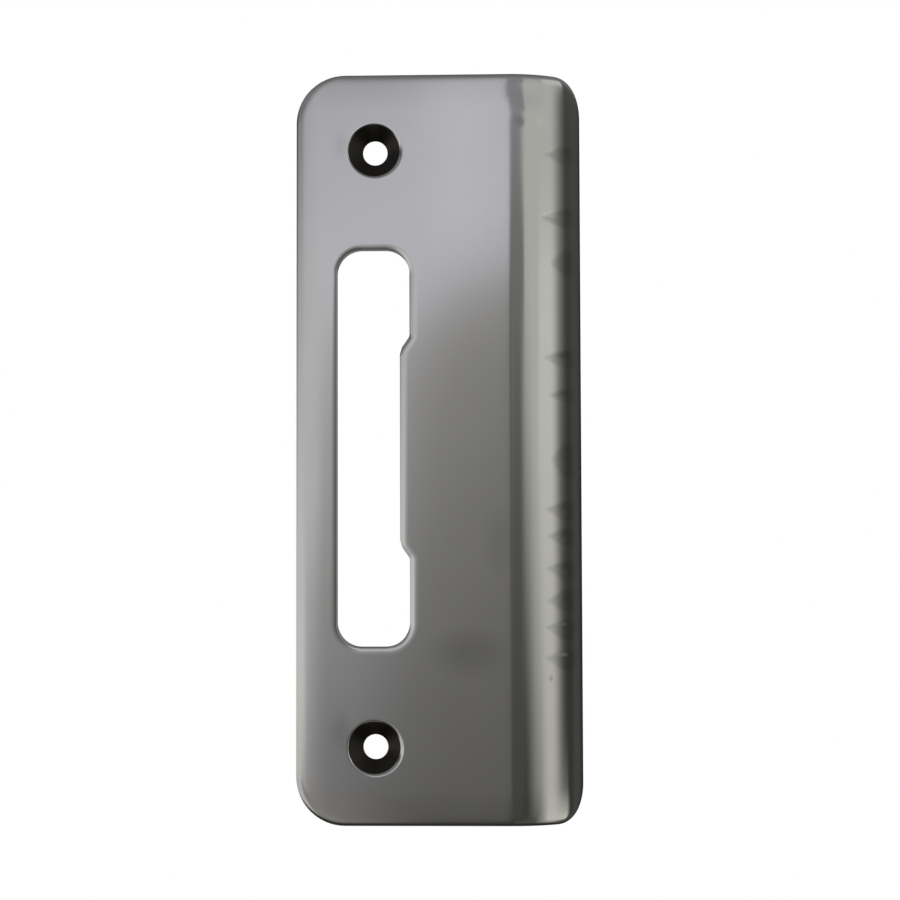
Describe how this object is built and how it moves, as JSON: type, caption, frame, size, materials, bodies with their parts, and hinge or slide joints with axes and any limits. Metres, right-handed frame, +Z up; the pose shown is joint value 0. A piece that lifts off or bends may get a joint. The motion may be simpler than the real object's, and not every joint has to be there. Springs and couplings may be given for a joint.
{
  "type": "door strike plate",
  "caption": "Flat stainless door strike plate with a stepped bolt slot, countersunk screw holes and a long curled lip along one side.",
  "frame": {"origin": "on the back mounting face, midway between the two screw holes", "axes": "+Z up along the plate, through both screw holes; +Y out of the back face, into the door frame; the polished front looks towards -Y; +X across the plate towards the curled lip"},
  "size_m": [0.0532, 0.0094, 0.1396],
  "materials": {
    "stainless_sheet": "satin polished stainless steel"
  },
  "bodies": {
    "root": {"strike_plate": "stainless_sheet"}
  },
  "joints": []
}
